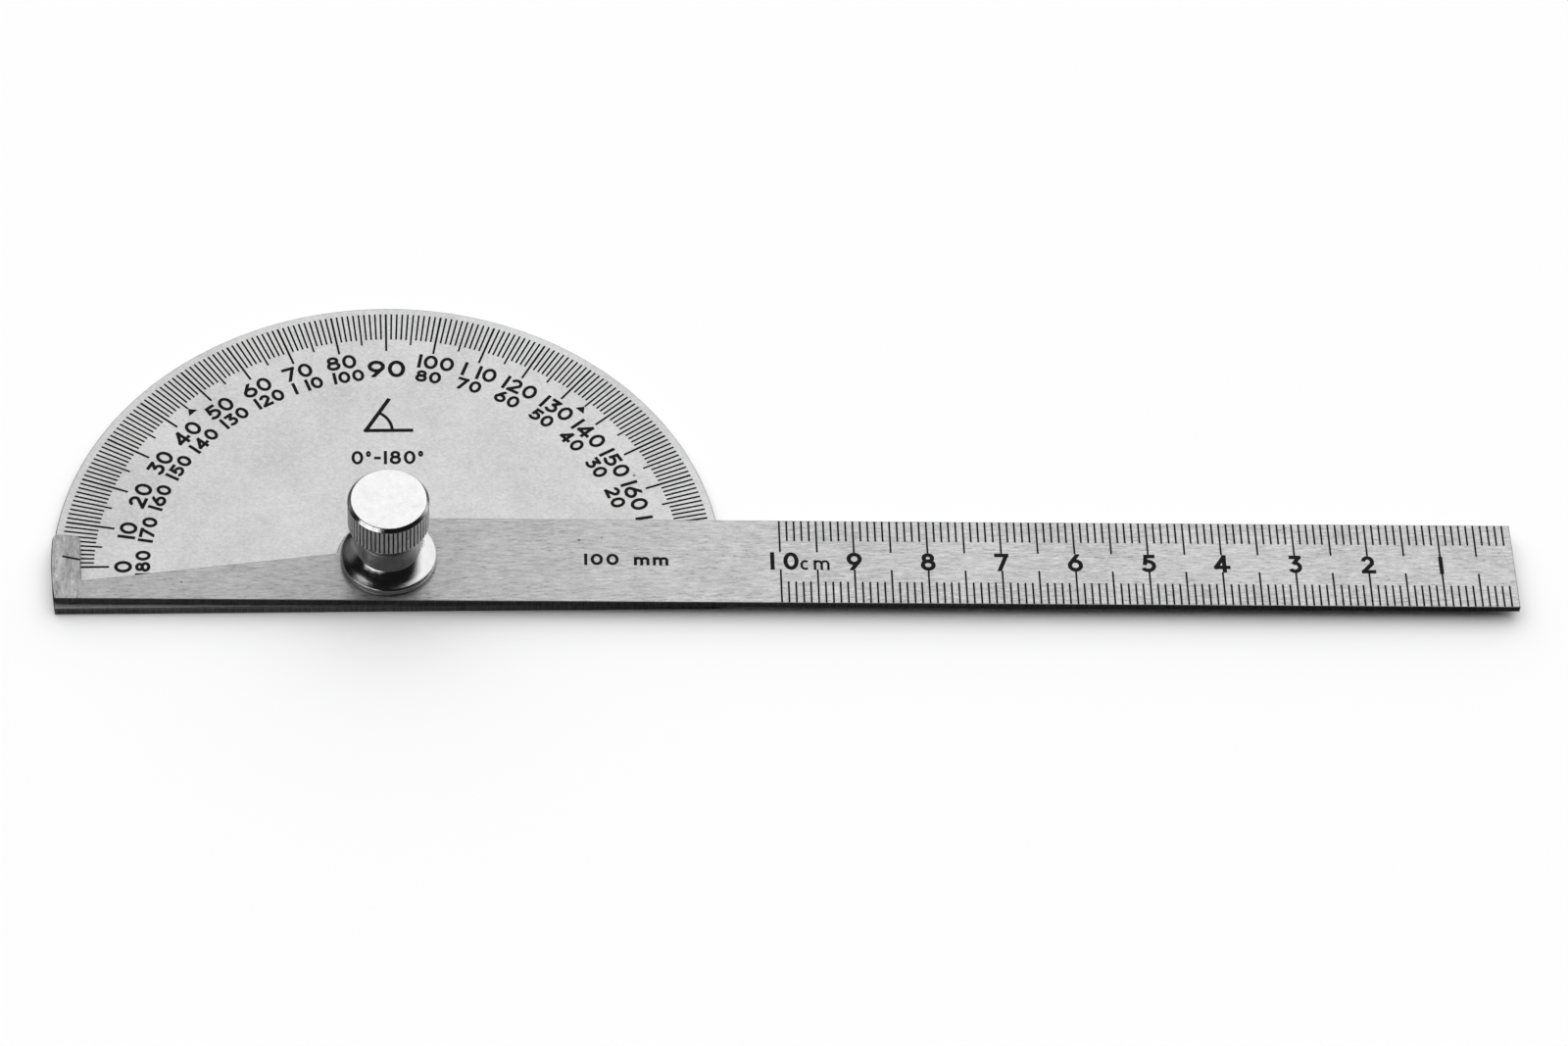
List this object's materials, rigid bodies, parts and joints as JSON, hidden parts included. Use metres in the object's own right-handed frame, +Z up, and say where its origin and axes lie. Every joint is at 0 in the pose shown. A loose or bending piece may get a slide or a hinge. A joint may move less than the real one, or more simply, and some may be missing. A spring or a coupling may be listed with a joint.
{
  "type": "protractor",
  "caption": "Flat steel half-round protractor with a graduated rule arm that pivots over the dial and is clamped by a knurled knob.",
  "frame": {"origin": "on the pivot axis, at the flat underside of the dial and of the stud's flush head", "axes": "+X along the dial's base edge towards the rule's free end at rest, +Y towards the dial's 90 degree mark, +Z up out of the dial's face"},
  "size_m": [0.1981, 0.0547, 0.0155],
  "materials": {
    "dial_steel": "fine satin",
    "rule_steel": "brushed along its length",
    "stud_steel": "turned",
    "washer_steel": "plain",
    "knob_chrome": "polished, satin top face",
    "black_fill": "matt black filling"
  },
  "bodies": {
    "dial": {"dial_plate": "dial_steel", "pivot_stud": "stud_steel", "spacer_washer": "washer_steel", "dial_one_degree_marks": "black_fill", "dial_five_degree_marks": "black_fill", "dial_ten_degree_marks": "black_fill", "dial_pointers": "black_fill", "dial_outer_numerals": "black_fill", "dial_inner_numerals": "black_fill", "dial_emblem": "black_fill"},
    "rule": {"rule_arm": "rule_steel", "index_line": "black_fill", "rule_millimetre_marks": "black_fill", "rule_five_millimetre_marks": "black_fill", "rule_centimetre_marks": "black_fill", "rule_numerals": "black_fill", "rule_unit_letters": "black_fill"},
    "washer": {"knob_washer": "washer_steel"},
    "knob": {"lock_knob": "knob_chrome"}
  },
  "joints": [
    {"name": "arm_pivot", "type": "hinge", "parent": "dial", "child": "rule", "pos_m": [0, 0, 0.002], "axis": [0, 0, 1], "range_deg": [-178.98, 1.02]},
    {"name": "knob_lift", "type": "slide", "parent": "dial", "child": "washer", "axis": [0, 0, 1], "range_m": [0, 0.000701]},
    {"name": "knob_turn", "type": "hinge", "parent": "washer", "child": "knob", "pos_m": [0, 0, 0.01], "axis": [0, 0, 1], "range_deg": [0, 360]}
  ],
  "couplings": [
    {"joint": "knob_lift", "follows": "knob_turn", "m_per_rad": 0.00011141}
  ]
}
